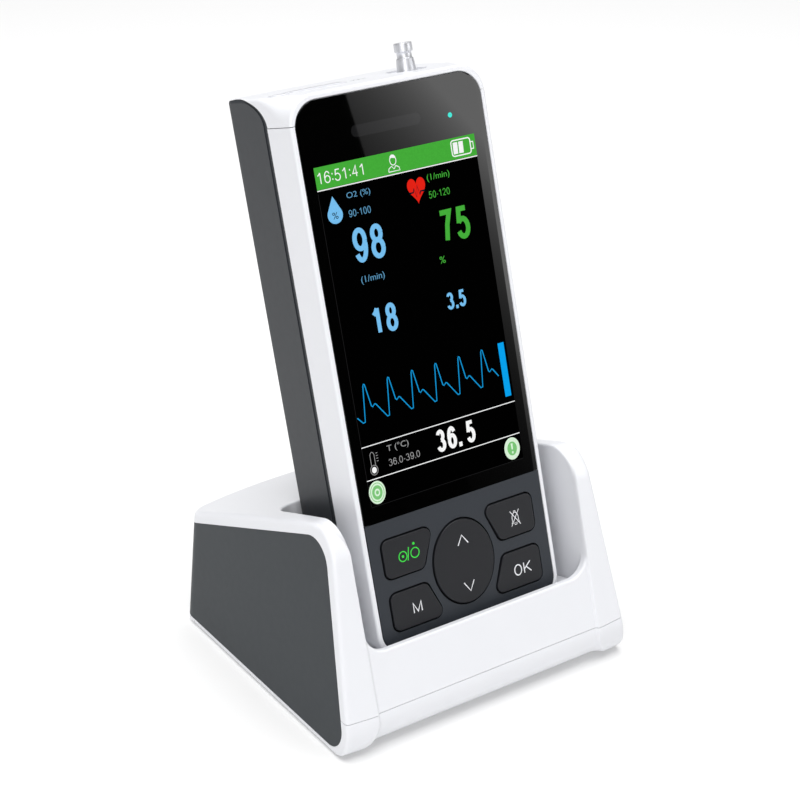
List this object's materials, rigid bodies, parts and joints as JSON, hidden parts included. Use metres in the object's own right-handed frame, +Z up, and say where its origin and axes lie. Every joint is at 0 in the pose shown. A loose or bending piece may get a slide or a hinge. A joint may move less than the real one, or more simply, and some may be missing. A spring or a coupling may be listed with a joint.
{
  "type": "patient monitor",
  "caption": "Hand-held patient monitor with a tall touch screen, keypad and hose nipple, standing tilted back in a wedge-shaped charging dock.",
  "frame": {"origin": "on the floor under the middle of the dock", "axes": "+Z up, the screen faces -Y and leans back, +X to the right of someone facing the screen"},
  "size_m": [0.1062, 0.0995, 0.1872],
  "materials": {
    "white_plastic": "satin moulded",
    "dark_plastic": "fine texture",
    "keypad_plastic": "smooth",
    "key_rubber": "smooth",
    "black_glass": "polished, tinted",
    "screen": "smooth",
    "bare_steel": "bare",
    "plated_steel": "plated",
    "gold_plate": "gold plated",
    "circuit_board": "solder mask",
    "black_plastic": "moulded",
    "clear_plastic": "tinted clear",
    "battery_wrap": "shrink film",
    "rubber": "matt"
  },
  "bodies": {
    "dock": {"dock_upper_shell": "white_plastic", "dock_base_shell": "white_plastic", "dock_rear_wrap": "dark_plastic", "cradle_seat": "white_plastic", "pin_board": "circuit_board", "charge_board": "circuit_board", "ballast_plate": "bare_steel", "power_socket": "black_plastic", "dock_screw_1": "bare_steel", "dock_screw_2": "bare_steel", "dock_screw_3": "bare_steel", "dock_screw_4": "bare_steel", "rubber_foot_1": "rubber", "rubber_foot_2": "rubber", "rubber_foot_3": "rubber", "rubber_foot_4": "rubber"},
    "monitor": {"front_frame": "white_plastic", "top_cap": "white_plastic", "rear_cover": "dark_plastic", "battery_door": "dark_plastic", "keypad_panel": "keypad_plastic", "display_glass": "black_glass", "lcd_module": "screen", "lcd_bracket": "bare_steel", "processor_shield": "bare_steel", "rocker_pivot": "bare_steel", "nipple_nut": "bare_steel", "door_screw": "bare_steel", "case_screw_1": "bare_steel", "case_screw_2": "bare_steel", "case_screw_3": "bare_steel", "case_screw_4": "bare_steel", "hose_nipple": "plated_steel", "charge_pad_1": "gold_plate", "charge_pad_2": "gold_plate", "charge_pad_3": "gold_plate", "key_board": "circuit_board", "main_board": "circuit_board", "speaker": "black_plastic", "measuring_module": "black_plastic", "probe_socket": "black_plastic", "temperature_jack": "black_plastic", "light_guide": "clear_plastic", "battery_pack": "battery_wrap", "case_seal": "rubber", "key_mat": "rubber"},
    "power_key": {"power_key": "key_rubber"},
    "mute_key": {"mute_key": "key_rubber"},
    "menu_key": {"menu_key": "key_rubber"},
    "ok_key": {"ok_key": "key_rubber"},
    "nav_rocker": {"nav_rocker": "key_rubber"},
    "charge_pin_1": {"charge_pin_1": "gold_plate"},
    "charge_pin_2": {"charge_pin_2": "gold_plate"},
    "charge_pin_3": {"charge_pin_3": "gold_plate"}
  },
  "joints": [
    {"name": "monitor_lift", "type": "slide", "parent": "dock", "child": "monitor", "axis": [0, 0.284, 0.9588], "range_m": [0, 0.08]},
    {"name": "power_key_press", "type": "slide", "parent": "monitor", "child": "power_key", "axis": [0, 0.9588, -0.284], "range_m": [0, 0.0006], "stiffness_N_per_m": 600},
    {"name": "mute_key_press", "type": "slide", "parent": "monitor", "child": "mute_key", "axis": [0, 0.9588, -0.284], "range_m": [0, 0.0006], "stiffness_N_per_m": 600},
    {"name": "menu_key_press", "type": "slide", "parent": "monitor", "child": "menu_key", "axis": [0, 0.9588, -0.284], "range_m": [0, 0.0006], "stiffness_N_per_m": 600},
    {"name": "ok_key_press", "type": "slide", "parent": "monitor", "child": "ok_key", "axis": [0, 0.9588, -0.284], "range_m": [0, 0.0006], "stiffness_N_per_m": 600},
    {"name": "nav_rocker_tilt", "type": "hinge", "parent": "monitor", "child": "nav_rocker", "pos_m": [0, -0.03004, 0.04287], "axis": [1, 0, 0], "range_deg": [-2, 2], "stiffness_Nm_per_rad": 0.05},
    {"name": "charge_pin_1_travel", "type": "slide", "parent": "dock", "child": "charge_pin_1", "axis": [0, 0.284, 0.9588], "range_m": [-0.0006, 0], "stiffness_N_per_m": 300},
    {"name": "charge_pin_2_travel", "type": "slide", "parent": "dock", "child": "charge_pin_2", "axis": [0, 0.284, 0.9588], "range_m": [-0.0006, 0], "stiffness_N_per_m": 300},
    {"name": "charge_pin_3_travel", "type": "slide", "parent": "dock", "child": "charge_pin_3", "axis": [0, 0.284, 0.9588], "range_m": [-0.0006, 0], "stiffness_N_per_m": 300}
  ]
}
